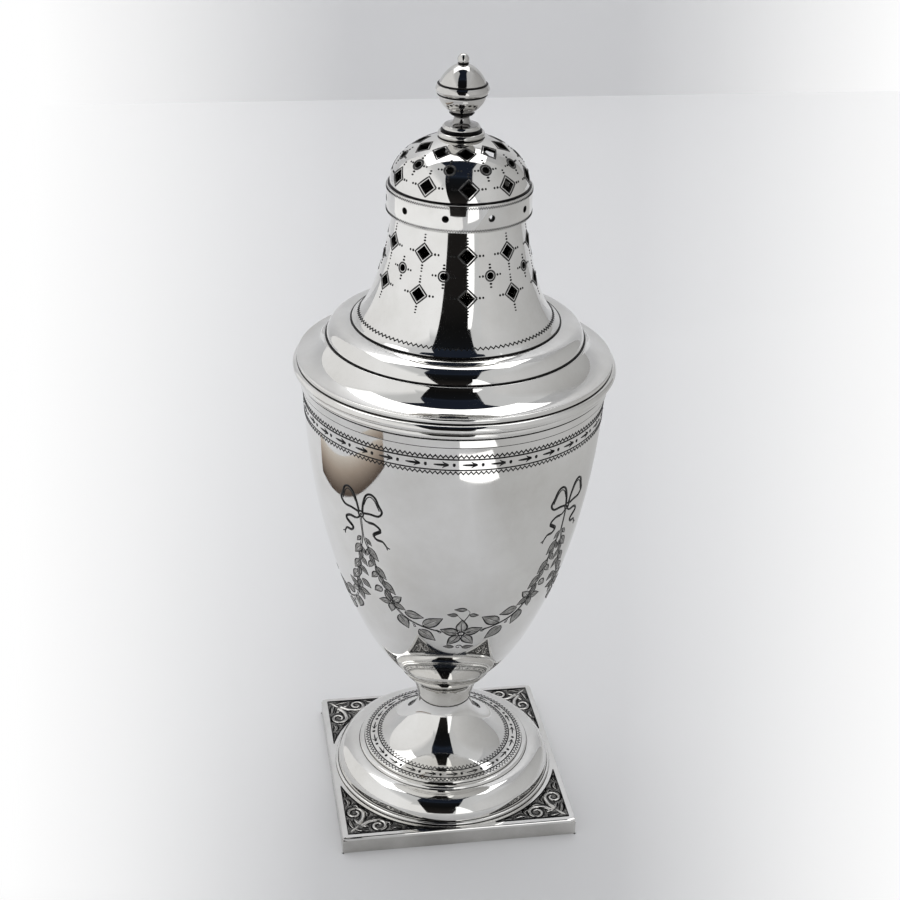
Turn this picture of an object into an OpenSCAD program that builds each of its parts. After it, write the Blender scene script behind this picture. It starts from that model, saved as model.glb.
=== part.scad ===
// Sugar caster: an urn body on a spreading foot and a square plinth, with a pierced cover that lifts off.
// The plinth stands on the XY plane, +Z is up and -Y is the front.

/* [Sheet and fits] */
// Thickness of the raised and spun sheet
sheet_t = 0.8; // [0.6:0.05:1.2]
// Gap between round pieces that are soldered together
solder_gap = 0.03; // [0.01:0.01:0.08]
// Radial play of the friction collar in the mouth
fit_gap = 0.1; // [0.05:0.01:0.3]
// Play between the brim's underside and the lip
seat_gap = 0.05; // [0.02:0.01:0.2]

/* [Plinth] */
// Side of the square plinth
plinth_w = 60; // [54:0.5:75]
// Height of the plinth
plinth_h = 4.7; // [3.5:0.1:8]
// Thickness of the plinth's top plate
plate_t = 0.9; // [0.6:0.1:1.5]
// Wall of the strip round the plinth
strip_t = 1.2; // [0.8:0.1:2.5]

/* [Foot] */
// Margin of plate left between the foot and the plinth's edge
foot_margin = 1.3; // [0.6:0.1:3]
// Height of the wire at the foot's edge
wire_h = 0.8; // [0.5:0.1:1.5]
// How far the wire stands out from the bulge
wire_out = 0.7; // [0.4:0.1:1.5]
// Breadth of the wire
wire_w = 2.2; // [1.8:0.1:4]
// Breadth of the rounded bulge
bulge_w = 5.7; // [4:0.1:7]
// Height of the rounded bulge
bulge_h = 5.6; // [4:0.1:8]
// Breadth of the bead above the bulge
foot_bead_w = 1.4; // [1:0.1:2]
// Height of the bead above the bulge
foot_bead_h = 0.8; // [0.5:0.1:1.2]
// Height of the riser from the bead to the engraved band
foot_riser = 0.7; // [0.4:0.1:1.2]
// Height of the trumpet from the engraved band to the stem
trumpet_h = 13.1; // [10:0.1:18]
// How steeply the trumpet leaves the stem
trumpet_drop = 5.5; // [4:0.1:7]
// How far the flat of the trumpet reaches in from the band's edge
trumpet_flat = 8.5; // [6:0.1:9.5]
// Rise of the flat of the trumpet
trumpet_rise = 1.2; // [0.6:0.1:2]

/* [Stem and bowl] */
// Diameter of the stem where it meets the foot
neck_d = 13.5; // [11:0.1:17]
// Height of the stem
stem_h = 11.2; // [9:0.1:16]
// Outward lean of the stem where it leaves the foot
stem_lean = 2; // [1:0.1:3]
// Depth below the bowl at which the stem stops leaning out
stem_hollow = 2.6; // [2:0.1:4]
// Inward lean of the stem's cupped top
stem_cup_w = 1.3; // [0.8:0.1:2]
// Height of the stem's cupped top
stem_cup_h = 4.1; // [3:0.1:5.5]
// Diameter of the bowl's foot and of the stem's cupped top
bowl_foot_d = 25; // [21:0.1:30]
// Height of the bowl's curved wall
bowl_curve_h = 79.3; // [65:0.5:100]
// Outside diameter of the bowl's mouth
mouth_d = 72; // [67:0.2:80]
// Outward lean of the bowl where it leaves its foot
swell_out = 9.4; // [7:0.1:11]
// Upward lean of the bowl where it leaves its foot
swell_up = 8.6; // [6:0.1:12]
// Height over which the bowl straightens below its neck
shoulder_h = 40; // [30:0.5:48]
// How much the bowl still widens over that height
shoulder_w = 1.1; // [0.6:0.1:2]

/* [Rim] */
// Height of the reeded strip
reeds_h = 4; // [3:0.1:6]
// How far the strip stands out at its top
reeds_out = 1.2; // [0.9:0.05:1.8]
// Height of the half-round bead on the lip
bead_h = 2; // [1.6:0.1:3]
// How far the bead stands out from the bowl
bead_out = 2.3; // [1.8:0.1:3]
// Diameter of the reed along the strip's top
reed_d = 1.9; // [1.6:0.05:2.3]
// How far the strip's plain foot stands out
reeds_foot_out = 0.4; // [0.3:0.02:0.6]

/* [Cover base] */
// Depth of the friction collar in the mouth
bezel_h = 10; // [6:0.5:15]
// How far the brim stands out from the bowl
brim_out = 1.3; // [0.8:0.1:2]
// Breadth of the brim's flat underside
brim_land = 3.2; // [2.8:0.1:4]
// Breadth of the brim up to the step
brim_w = 7; // [6:0.1:9]
// Height of the brim
brim_h = 6; // [5:0.1:9]
// Height of the brim's rounded edge
brim_edge_h = 1.3; // [0.9:0.1:1.6]
// Breadth of the rounding on the brim's edge
brim_edge_w = 0.6; // [0.4:0.05:0.9]
// Bevel under the brim's edge
brim_bevel = 0.3; // [0.2:0.05:0.5]
// Breadth of the fillet between the brim's hollow and the step
brim_fillet_w = 0.7; // [0.5:0.05:1]
// Height of the fillet between the brim's hollow and the step
brim_fillet_h = 0.5; // [0.3:0.05:0.8]
// Breadth of the rounded step
step_w = 5.4; // [4.5:0.1:7]
// Height of the rounded step
step_h = 4; // [3:0.1:6]

/* [Bell, band and dome] */
// Breadth of the ledge between step and bell
bell_ledge = 0.5; // [0.3:0.05:0.9]
// Height of the bell's rounded lip
bell_lip_h = 0.7; // [0.5:0.05:1]
// Breadth of the bell's rounded lip
bell_lip_w = 0.6; // [0.4:0.05:0.9]
// How far the bell's flare reaches in
bell_flare_w = 5; // [4:0.1:6.5]
// Height of the bell's flare above its lip
bell_flare_h = 3.7; // [3:0.1:5]
// Height over which the bell straightens below the band
bell_neck_h = 7.5; // [5:0.1:9]
// How much the bell still narrows over that height
bell_neck_w = 1.4; // [0.8:0.1:2]
// Height of the bell
bell_h = 26.4; // [22:0.2:34]
// Diameter of the bell's top
bell_top_d = 30; // [26:0.2:34]
// Height of the upright band
band_h = 6.3; // [5:0.1:9]
// How far the band stands out from the bell's top
band_out = 1.6; // [1.2:0.1:2.4]
// Thickness of the upright band
band_t = 1.4; // [1.2:0.1:1.8]
// Ledge of the band outside the dome
dome_ledge = 0.7; // [0.4:0.1:0.9]
// Height of the dome's full curve
dome_h = 11.3; // [9.5:0.1:15]

/* [Piercing] */
// Piercings in each row
pierce_count = 10; // [8:1:12]
// Turn of the first column of diamonds from the front
pierce_turn = -2; // [-18:1:18]
// Diagonal of the bell's diamonds
bell_diamond = 3.4; // [2.4:0.1:4]
// Diameter of the bell's round holes
bell_hole_d = 1.65; // [1.2:0.05:2.2]
// Height of the bell's lower diamonds above its foot
bell_low_row = 11.8; // [10:0.1:13]
// Height of the bell's round holes above its foot
bell_mid_row = 16.4; // [14.5:0.1:17.5]
// Height of the bell's upper diamonds above its foot
bell_high_row = 20.9; // [19:0.1:21.5]
// Diameter of the band's round holes
band_hole_d = 1.6; // [1.2:0.05:2.4]
// Diagonal of the dome's lower diamonds
dome_diamond = 3.6; // [2.6:0.1:4]
// Diameter of the dome's round holes
dome_hole_d = 1.8; // [1.3:0.05:2.2]
// Diagonal of the dome's upper diamonds
crown_diamond = 3.8; // [2.6:0.1:4]
// Height of the dome's lower diamonds above its foot
dome_low_row = 3.2; // [2.6:0.1:3.6]
// Height of the dome's round holes above its foot
dome_mid_row = 6.7; // [6:0.1:7]
// Height of the dome's upper diamonds above its foot
dome_high_row = 9.3; // [8.8:0.1:9.4]

/* [Finial] */
// Diameter of the finial's ringed foot
finial_foot_d = 10.7; // [8.5:0.1:12]
// How far the ringed foot overhangs its seat on the dome
finial_overhang = 0.4; // [0.2:0.05:0.8]
// Height of the ring round the finial's foot
finial_ring_h = 1.3; // [1:0.05:1.5]
// Diameter of the disc above the ring
finial_disc_d = 9; // [7.6:0.1:9.4]
// Bevel of the disc's upper edge
disc_bevel = 0.5; // [0.3:0.05:0.7]
// Height of the finial's ringed foot
finial_foot_h = 2.3; // [1.8:0.1:3]
// Height of the finial's spool
spool_h = 3.2; // [2.4:0.1:4.4]
// Diameter of the spool's waist
spool_waist_d = 3.6; // [3:0.1:4.4]
// Diameter of the spool's flared foot
spool_foot_d = 7.8; // [6:0.1:8]
// Thickness of the collar at the spool's top
spool_collar_h = 0.35; // [0.25:0.05:0.6]
// Diameter of the spool's top and of the cup's bottom
spool_top_d = 5; // [4.4:0.1:6]
// Height of the cup
cup_h = 4.15; // [3.4:0.05:5.6]
// Diameter of the cup's top and of the cap's foot
cup_d = 10.8; // [9.5:0.1:12.5]
// Height of the belt
girdle_h = 2.15; // [1.6:0.05:3]
// How far the belt stands out from the cup
girdle_out = 0.6; // [0.3:0.05:0.9]
// Height of the domed cap up to the ball's seat
cap_h = 4.45; // [3.6:0.05:5.4]
// Height over which the cap's side leans in
cap_side_h = 1.3; // [0.8:0.1:1.8]
// Breadth of the cap's crown round the ball
cap_crown_w = 2.1; // [1.4:0.1:2.8]
// Fall of the cap's crown
cap_crown_h = 0.35; // [0.2:0.05:0.6]
// Ledge of the belt outside the cap
cap_ledge = 0.2; // [0.1:0.05:0.4]
// Diameter of the ball on top
ball_d = 2.6; // [2.4:0.1:3.4]
// Height of the ball's centre above its seat
ball_lift = 0.95; // [0.5:0.05:1.1]
// Diameter of the stud
stud_d = 1.6; // [1.2:0.1:2]
// Metal left between the stud's end and the belt
stud_cover = 1.2; // [0.8:0.1:2]
// How far the stud stands out below its nut
stud_end = 0.6; // [0.3:0.1:1]
// Diameter of the nut
nut_d = 4.6; // [3.6:0.1:5.4]
// Thickness of the nut
nut_t = 1.5; // [1:0.1:2.2]

/* [Hidden] */
$fn = 96;
curve_n = 14;
// Share of a rounded moulding's breadth and height that its curve's handles reach
fullness = 0.6;
// Shares of a hollow moulding's breadth and height that its handles run along and turn away
hollow_flat = 0.5;
hollow_turn = 0.15;
silver = [0.84, 0.84, 0.82];
inner_silver = [0.72, 0.72, 0.70];

// Radii that neighbouring pieces share
foot_r = plinth_w / 2 - foot_margin;
bulge_r = foot_r - wire_out;
foot_bead_r = bulge_r - bulge_w;
foot_band_r = foot_bead_r - foot_bead_w;
neck_r = neck_d / 2;
bowl_foot_r = bowl_foot_d / 2;
mouth_r = mouth_d / 2;
brim_r = mouth_r + brim_out;
step_r = brim_r - brim_w;
ledge_r = step_r - step_w;
bell_r = ledge_r - bell_ledge;
bell_top_r = bell_top_d / 2;
band_r = bell_top_r + band_out;
dome_r = band_r - dome_ledge;
dome_seat_r = finial_foot_d / 2 - finial_overhang;
cup_r = cup_d / 2;
cap_r = cup_r - cap_ledge / 2;
ball_r = ball_d / 2;
ball_seat_r = sqrt(ball_r^2 - ball_lift^2);
stud_bore_r = stud_d / 2 + solder_gap;

// Heights of the seats, from the table up
wire_z = plinth_h;
foot_z = wire_z + wire_h;
bead_z = foot_z + bulge_h;
band_foot_z = bead_z + foot_bead_h;
band_top_z = band_foot_z + foot_riser;
stem_z = band_top_z + trumpet_h;
bowl_z = stem_z + stem_h;
reeds_z = bowl_z + bowl_curve_h;
lip_z = reeds_z + reeds_h;
brim_z = lip_z + bead_h + seat_gap;
step_z = brim_z + brim_h;
bell_z = step_z + step_h;
band_z = bell_z + bell_h;
dome_z = band_z + band_h;
dome_top_angle = acos(dome_seat_r / dome_r);
finial_z = dome_z + dome_h * sin(dome_top_angle);
spool_z = finial_z + finial_foot_h;
cup_z = spool_z + spool_h;
girdle_z = cup_z + cup_h;
cap_z = girdle_z + girdle_h;
ball_z = cap_z + cap_h;

// A cubic curve from a to d with handles b and c
function curve(a, b, c, d, n = curve_n) =
    [for (i = [0:n]) let (t = i / n, s = 1 - t) s^3 * a + 3 * s^2 * t * b + 3 * s * t^2 * c + t^3 * d];

// Right-hand side of an outline at point i, which is the outside of one that runs upward
function outward(p, i) =
    let (d = p[min(i + 1, len(p) - 1)] - p[max(i - 1, 0)]) [d.y, -d.x] / norm(d);

// The outline moved inward by t
function inward(p, t) = [for (i = [0:len(p) - 1]) p[i] - t * outward(p, i)];
function reversed(p) = [for (i = [len(p) - 1:-1:0]) p[i]];
function without_ends(p) = [for (i = [1:len(p) - 2]) p[i]];

// Radius and outward direction of an outline at height z
function radius_at(p, z) = lookup(z, [for (q = p) [q.y, q.x]]);
function tilt_at(p, z, step = 0.3) =
    let (rise = 2 * step, run = radius_at(p, z + step) - radius_at(p, z - step)) atan2(rise, -run);

// Outlines, each from its seat upward
function bulge_outline() =
    curve([bulge_r, foot_z], [bulge_r, foot_z + bulge_h * fullness],
          [foot_bead_r + bulge_w * fullness, bead_z], [foot_bead_r, bead_z], 10);
function foot_bead_outline() =
    curve([foot_bead_r, bead_z], [foot_bead_r, band_foot_z],
          [foot_band_r + foot_bead_w * fullness, band_foot_z], [foot_band_r, band_foot_z], 5);
function trumpet_outline() =
    curve([foot_band_r, band_top_z], [foot_band_r - trumpet_flat, band_top_z + trumpet_rise],
          [neck_r, stem_z - trumpet_drop], [neck_r, stem_z]);
function stem_outline() =
    curve([neck_r, stem_z], [neck_r + stem_lean, bowl_z - stem_hollow],
          [bowl_foot_r - stem_cup_w, bowl_z - stem_cup_h], [bowl_foot_r, bowl_z]);
function bowl_outline() =
    curve([bowl_foot_r, bowl_z], [bowl_foot_r + swell_out, bowl_z + swell_up],
          [mouth_r - shoulder_w, reeds_z - shoulder_h], [mouth_r, reeds_z], 24);
function brim_edge_outline() =
    let (top = [brim_r - brim_edge_w, brim_z + brim_edge_h], corner = [brim_r, top.y])
    curve([brim_r, brim_z + brim_bevel], corner, corner, top, 5);
function brim_outline() =
    let (foot = [brim_r - brim_edge_w, brim_z + brim_edge_h],
         top = [step_r + brim_fillet_w, step_z - brim_fillet_h],
         run = foot.x - top.x,
         rise = top.y - foot.y)
    curve(foot, foot + [-run * hollow_flat, rise * hollow_turn],
          top + [run * hollow_turn, -rise * hollow_flat], top, 12);
function brim_fillet_outline() =
    let (foot = [step_r + brim_fillet_w, step_z - brim_fillet_h],
         corner = [foot.x - brim_fillet_w / 4, step_z])
    curve(foot, corner, corner, [step_r, step_z], 4);
function step_outline() =
    curve([step_r, step_z], [step_r, step_z + step_h * fullness],
          [ledge_r + step_w * fullness, bell_z], [ledge_r, bell_z], 10);
function bell_outline() =
    let (lip_r = bell_r - bell_lip_w, flare_z = bell_z + bell_lip_h)
    curve([lip_r, flare_z], [lip_r - bell_flare_w, flare_z + bell_flare_h],
          [bell_top_r + bell_neck_w, band_z - bell_neck_h], [bell_top_r, band_z], 18);
function dome_outline() =
    [for (i = [0:curve_n]) let (a = dome_top_angle * i / curve_n) [dome_r * cos(a), dome_z + dome_h * sin(a)]];
function cap_outline() =
    curve([cap_r, cap_z], [cap_r - cap_ledge, cap_z + cap_side_h],
          [ball_seat_r + cap_crown_w, ball_z - cap_crown_h], [ball_seat_r, ball_z], 12);
bezel_r = radius_at(bowl_outline(), brim_z - bezel_h) - sheet_t - fit_gap;

// A row of cutters that stand square to an outline at height z
module row(outline, z, turn = 0) {
    for (i = [0:pierce_count - 1])
        rotate([0, 0, -90 + pierce_turn + turn + i * 360 / pierce_count])
            translate([radius_at(outline, z), 0, z])
                rotate([0, tilt_at(outline, z), 0])
                    children();
}
module diamond_cutter(diagonal) {
    linear_extrude(height = 6 * sheet_t, center = true)
        rotate(45)
            square(diagonal / sqrt(2), center = true);
}
module round_cutter(d) {
    cylinder(h = 6 * sheet_t, d = d, center = true);
}

// Plinth
module plinth_strip() {
    color(silver)
        linear_extrude(height = plinth_h - plate_t)
            difference() {
                square(plinth_w, center = true);
                square(plinth_w - 2 * strip_t, center = true);
            }
}
module plinth_plate() {
    color(silver)
        translate([0, 0, plinth_h - plate_t])
            linear_extrude(height = plate_t)
                difference() {
                    square(plinth_w, center = true);
                    circle(r = foot_r - wire_w);
                }
}

// Foot and stem
module foot_wire() {
    wire_round = wire_h / 2;
    color(silver)
        translate([0, 0, wire_z])
            rotate_extrude() {
                translate([foot_r - wire_w, 0])
                    square([wire_w - wire_round, wire_h]);
                translate([foot_r - wire_round, wire_round])
                    circle(r = wire_round, $fn = 32);
            }
}
module foot_shell() {
    outside = concat(bulge_outline(), without_ends(foot_bead_outline()),
                     [[foot_band_r, band_foot_z]], trumpet_outline());
    hollow = concat(inward(bulge_outline(), sheet_t),
                    [[foot_band_r - sheet_t, band_foot_z - sheet_t]],
                    without_ends(inward(trumpet_outline(), sheet_t)));
    color(silver)
        rotate_extrude()
            polygon(concat(outside,
                           [[neck_r - sheet_t, stem_z]],
                           reversed(without_ends(hollow)),
                           [[bulge_r - sheet_t, foot_z]]));
}
module stem() {
    color(silver)
        rotate_extrude()
            polygon(concat([[0, stem_z]], stem_outline(), [[0, bowl_z]]));
}

// Bowl and rim
module bowl() {
    hollow = inward(bowl_outline(), sheet_t);
    color(silver)
        rotate_extrude()
            polygon(concat([[0, bowl_z]], bowl_outline(),
                           [[mouth_r, lip_z], [mouth_r - sheet_t, lip_z]],
                           reversed(hollow),
                           [[0, hollow[0].y]]));
}
module rim_reeds() {
    inside = mouth_r + solder_gap;
    reed_r = reed_d / 2;
    color(silver)
        rotate_extrude()
            union() {
                translate([inside, reeds_z])
                    square([reeds_foot_out, reeds_h]);
                intersection() {
                    translate([inside + reeds_out - reed_r, lip_z - reed_r])
                        circle(r = reed_r, $fn = 48);
                    translate([inside, reeds_z])
                        square([2 * reeds_out, reeds_h]);
                }
            }
}
module rim_bead() {
    bead_round = bead_h / 2;
    inside = mouth_r - sheet_t;
    color(silver)
        rotate_extrude() {
            translate([inside, lip_z])
                square([sheet_t + bead_out - bead_round, bead_h]);
            translate([mouth_r + bead_out - bead_round, lip_z + bead_round])
                circle(r = bead_round, $fn = 32);
        }
}

// Cover, from its friction collar up to its dome
module cover_bezel() {
    color(inner_silver)
        rotate_extrude()
            translate([bezel_r - sheet_t, brim_z - bezel_h])
                square([sheet_t, bezel_h]);
}
module cover_brim() {
    hollow = inward(brim_outline(), sheet_t);
    color(silver)
        rotate_extrude()
            polygon(concat([[brim_r - brim_land, brim_z], [brim_r - brim_bevel, brim_z]],
                           brim_edge_outline(),
                           without_ends(brim_outline()),
                           brim_fillet_outline(),
                           [[step_r - sheet_t, step_z]],
                           reversed([for (p = without_ends(hollow)) if (p.x < brim_r - brim_land) p])));
}
module cover_step() {
    hollow = inward(step_outline(), sheet_t);
    color(silver)
        rotate_extrude()
            polygon(concat(step_outline(),
                           [[ledge_r - bell_ledge - sheet_t, bell_z],
                            [ledge_r - bell_ledge - sheet_t, bell_z - sheet_t]],
                           reversed(without_ends(hollow)),
                           [[step_r - sheet_t, step_z]]));
}
module cover_bell() {
    hollow = inward(bell_outline(), sheet_t);
    color(silver)
        difference() {
            rotate_extrude()
                polygon(concat([[bell_r - sheet_t, bell_z], [bell_r, bell_z],
                                [bell_r, bell_z + bell_lip_h / 2]],
                               bell_outline(),
                               [[bell_top_r - sheet_t, band_z]],
                               reversed(without_ends(hollow))));
            row(bell_outline(), bell_z + bell_low_row)
                diamond_cutter(bell_diamond);
            row(bell_outline(), bell_z + bell_mid_row, 180 / pierce_count)
                round_cutter(bell_hole_d);
            row(bell_outline(), bell_z + bell_high_row)
                diamond_cutter(bell_diamond);
        }
}
module cover_band() {
    upright = [[band_r, band_z], [band_r, dome_z]];
    color(silver)
        difference() {
            rotate_extrude()
                polygon([[bell_top_r - sheet_t, band_z], [band_r, band_z], [band_r, dome_z],
                         [band_r - band_t, dome_z], [band_r - band_t, band_z + sheet_t],
                         [bell_top_r - sheet_t, band_z + sheet_t]]);
            row(upright, band_z + band_h / 2, 180 / pierce_count)
                round_cutter(band_hole_d);
        }
}
module cover_dome() {
    hollow = inward(dome_outline(), sheet_t);
    color(silver)
        difference() {
            rotate_extrude()
                polygon(concat(dome_outline(),
                               [[stud_bore_r, finial_z], [stud_bore_r, finial_z - sheet_t],
                                [dome_seat_r - sheet_t, finial_z - sheet_t]],
                               reversed(without_ends(hollow)),
                               [[dome_r - sheet_t, dome_z]]));
            row(dome_outline(), dome_z + dome_low_row)
                diamond_cutter(dome_diamond);
            row(dome_outline(), dome_z + dome_mid_row, 180 / pierce_count)
                round_cutter(dome_hole_d);
            row(dome_outline(), dome_z + dome_high_row)
                diamond_cutter(crown_diamond);
        }
}

// Finial, pinned through the dome
module finial_foot() {
    ring_r = finial_ring_h / 2;
    ring_x = finial_foot_d / 2 - ring_r;
    disc_r = finial_disc_d / 2;
    color(silver)
        rotate_extrude()
            difference() {
                union() {
                    translate([0, finial_z])
                        square([ring_x, finial_ring_h]);
                    translate([ring_x, finial_z + ring_r])
                        circle(r = ring_r, $fn = 32);
                    polygon([[0, finial_z], [disc_r - disc_bevel, finial_z], [disc_r, spool_z - disc_bevel],
                             [disc_r - disc_bevel, spool_z], [0, spool_z]]);
                }
                translate([0, finial_z - finial_foot_h])
                    square([stud_bore_r, 3 * finial_foot_h]);
            }
}
module finial_stem() {
    waist_r = spool_waist_d / 2;
    waist_z = (spool_z + cup_z) / 2;
    collar_r = spool_top_d / 2;
    collar_z = cup_z - spool_collar_h;
    color(silver)
        rotate_extrude()
            polygon(concat([[stud_bore_r, spool_z]],
                           curve([spool_foot_d / 2, spool_z], [waist_r, spool_z],
                                 [waist_r, spool_z], [waist_r, waist_z], 8),
                           [[waist_r, collar_z - (collar_r - waist_r) / 3], [collar_r, collar_z],
                            [collar_r, cup_z], [stud_bore_r, cup_z]]));
}
module finial_cup() {
    collar_r = spool_top_d / 2;
    socket_z = girdle_z - stud_cover;
    color(silver)
        rotate_extrude()
            polygon(concat([[stud_bore_r, cup_z]],
                           curve([collar_r, cup_z], [cup_r - (cup_r - collar_r) / 2, cup_z + cup_h / 4],
                                 [cup_r, cup_z + cup_h * fullness], [cup_r, girdle_z], 10),
                           [[0, girdle_z], [0, socket_z], [stud_bore_r, socket_z]]));
}
module finial_girdle() {
    handle = girdle_out * 4 / 3;
    color(silver)
        rotate_extrude()
            polygon(concat([[0, girdle_z]],
                           curve([cup_r, girdle_z], [cup_r + handle, girdle_z + girdle_h / 4],
                                 [cup_r + handle, cap_z - girdle_h / 4], [cap_r + cap_ledge, cap_z], 8),
                           [[0, cap_z]]));
}
module finial_cap() {
    color(silver)
        rotate_extrude()
            polygon(concat([[0, cap_z]], cap_outline(), [[0, ball_z]]));
}
module finial_bead() {
    color(silver)
        difference() {
            translate([0, 0, ball_z + ball_lift])
                sphere(r = ball_r);
            translate([0, 0, ball_z - ball_d])
                cylinder(h = ball_d, r = ball_d);
        }
}
module finial_stud() {
    foot_z = finial_z - sheet_t - nut_t - stud_end;
    color(inner_silver)
        translate([0, 0, foot_z])
            cylinder(h = girdle_z - stud_cover - foot_z, d = stud_d);
}
module finial_nut() {
    color(inner_silver)
        translate([0, 0, finial_z - sheet_t - nut_t])
            difference() {
                cylinder(h = nut_t, d = nut_d);
                translate([0, 0, -nut_t])
                    cylinder(h = 3 * nut_t, r = stud_bore_r);
            }
}

plinth_strip();
plinth_plate();
foot_wire();
foot_shell();
stem();
bowl();
rim_reeds();
rim_bead();
cover_bezel();
cover_brim();
cover_step();
cover_bell();
cover_band();
cover_dome();
finial_foot();
finial_stem();
finial_cup();
finial_girdle();
finial_cap();
finial_bead();
finial_stud();
finial_nut();
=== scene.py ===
import bpy
from bisect import bisect_left
from math import acos, asin, atan2, cos, degrees, hypot, pi, radians, sin
from mathutils import Matrix, Vector


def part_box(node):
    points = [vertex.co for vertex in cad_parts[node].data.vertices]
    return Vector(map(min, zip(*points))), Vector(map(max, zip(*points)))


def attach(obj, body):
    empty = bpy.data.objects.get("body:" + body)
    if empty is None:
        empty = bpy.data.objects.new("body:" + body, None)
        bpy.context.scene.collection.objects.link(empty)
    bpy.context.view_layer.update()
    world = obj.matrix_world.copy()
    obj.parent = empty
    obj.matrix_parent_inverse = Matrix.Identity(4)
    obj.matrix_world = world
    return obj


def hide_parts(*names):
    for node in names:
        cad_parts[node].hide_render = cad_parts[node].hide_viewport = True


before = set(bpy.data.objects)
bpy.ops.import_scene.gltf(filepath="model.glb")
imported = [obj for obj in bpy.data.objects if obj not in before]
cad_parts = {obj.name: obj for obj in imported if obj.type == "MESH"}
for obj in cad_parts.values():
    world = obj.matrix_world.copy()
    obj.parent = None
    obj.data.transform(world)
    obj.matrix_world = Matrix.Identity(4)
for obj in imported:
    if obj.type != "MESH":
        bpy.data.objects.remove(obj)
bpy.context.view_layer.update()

# Lengths are in millimetres, apart from the camera's place and the stage, which are in metres

MM = 0.001
SHEET = 0.8
BORE = 0.83
MERGE = 0.002
SHARP = 35
TURN_STEPS = 288
SMALL_STEPS = 144
SECTORS = 12
RING_STEPS = 240
RADIUS = 0
HEIGHT = 1
CAMERA_TURN = radians(-9.91)
facing = Matrix.Rotation(CAMERA_TURN, 4, "Z")


# Heights and radii of the solids

def seat(node):
    """The height of a solid's foot and its radius."""
    low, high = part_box(node)
    return low.z / MM, high.x / MM


def top_of(node):
    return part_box(node)[1].z / MM


plate_foot, plinth_half = seat("plinth_plate")
plate_top = top_of("plinth_plate")
wire_r = seat("foot_wire")[1]
foot_z, bulge_r = seat("foot_shell")
stem_z = seat("stem")[0]
bowl_z, mouth_r = seat("bowl")
lip_z = top_of("bowl")
reeds_z, reeds_r = seat("rim_reeds")
lip_r = seat("rim_bead")[1]
lip_top = top_of("rim_bead")
bezel_z, bezel_r = seat("cover_bezel")
brim_z, brim_r = seat("cover_brim")
step_z, step_r = seat("cover_step")
bell_z, bell_r = seat("cover_bell")
band_z, band_r = seat("cover_band")
dome_z, dome_r = seat("cover_dome")
finial_z, finial_r = seat("finial_foot")
spool_z, spool_r = seat("finial_stem")
cup_z, cup_r = seat("finial_cup")
girdle_z, girdle_r = seat("finial_girdle")
cap_z, cap_r = seat("finial_cap")
ball_z, ball_r = seat("finial_bead")
crown_z = top_of("finial_bead")


# Camera, placed first, at the photograph's viewing angle

def place_camera():
    eye_back = 0.35917
    eye_height = 0.27959
    look_aside = radians(0.068)
    look_down = radians(26.91)
    lean = radians(1.69)
    camera = new_object(bpy.ops.object.camera_add, "camera")
    camera.data.sensor_width = 36
    camera.data.lens = 65.996
    camera.data.clip_start = 0.01
    heading = Matrix.Rotation(look_aside + CAMERA_TURN, 4, "Z")
    pitch = Matrix.Rotation(pi / 2 - look_down, 4, "X")
    roll = Matrix.Rotation(lean, 4, "Z")
    eye = facing @ Vector((0, -eye_back, eye_height))
    camera.matrix_world = Matrix.Translation(eye) @ heading @ pitch @ roll
    bpy.context.scene.camera = camera


# Modelling helpers

def deselect():
    bpy.ops.object.select_all(action="DESELECT")


def pick(piece):
    deselect()
    piece.select_set(True)
    bpy.context.view_layer.objects.active = piece


def new_object(add, name, **settings):
    """Makes and names an object with one of Blender's add commands."""
    deselect()
    add(**settings)
    made = bpy.context.object
    made.name = name
    return made


def enter_edit():
    bpy.ops.object.mode_set(mode="EDIT")


def edit_all():
    enter_edit()
    bpy.ops.mesh.select_all(action="SELECT")


def leave_edit():
    bpy.ops.object.mode_set(mode="OBJECT")


def smooth(piece, sharp=SHARP):
    pick(piece)
    bpy.ops.object.shade_smooth_by_angle(angle=radians(sharp))
    return piece


def sealed(piece, sharp=SHARP):
    """Merges doubled points, turns the faces outward and smooths all but the sharp edges."""
    pick(piece)
    edit_all()
    bpy.ops.mesh.remove_doubles(threshold=MERGE * MM)
    bpy.ops.mesh.normals_make_consistent()
    leave_edit()
    return smooth(piece, sharp)


def evenly(n):
    """Even steps from 0 to 1."""
    return [i / n for i in range(n + 1)]


def curve(a, b, c, d, n):
    """Points of a cubic curve from a to d with handles b and c."""
    points = []
    for t in evenly(n):
        s = 1 - t
        weights = (s ** 3, 3 * s * s * t, 3 * s * t * t, t ** 3)
        points.append(tuple(sum(w * p[k] for w, p in zip(weights, (a, b, c, d))) for k in (0, 1)))
    return points


def smooth_path(knots, n):
    """Points of a smooth path through all the knots, n to each span."""
    def handle(spot, ahead, behind):
        return tuple(s + (a - b) / 6 for s, a, b in zip(spot, ahead, behind))

    padded = [knots[0], *knots, knots[-1]]
    points = []
    for before, start, end, after in zip(padded, knots, knots[1:], padded[3:]):
        points += curve(start, handle(start, end, before), handle(end, start, after), end, n)[:-1]
    return points + [tuple(knots[-1])]


def inset(outline, depth):
    """The outline moved inward by a wall's thickness."""
    moved = []
    for i, (r, z) in enumerate(outline):
        r0, z0 = outline[max(i - 1, 0)]
        r1, z1 = outline[min(i + 1, len(outline) - 1)]
        run = hypot(r1 - r0, z1 - z0)
        moved.append((r - depth * (z1 - z0) / run, z + depth * (r1 - r0) / run))
    return moved


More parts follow.
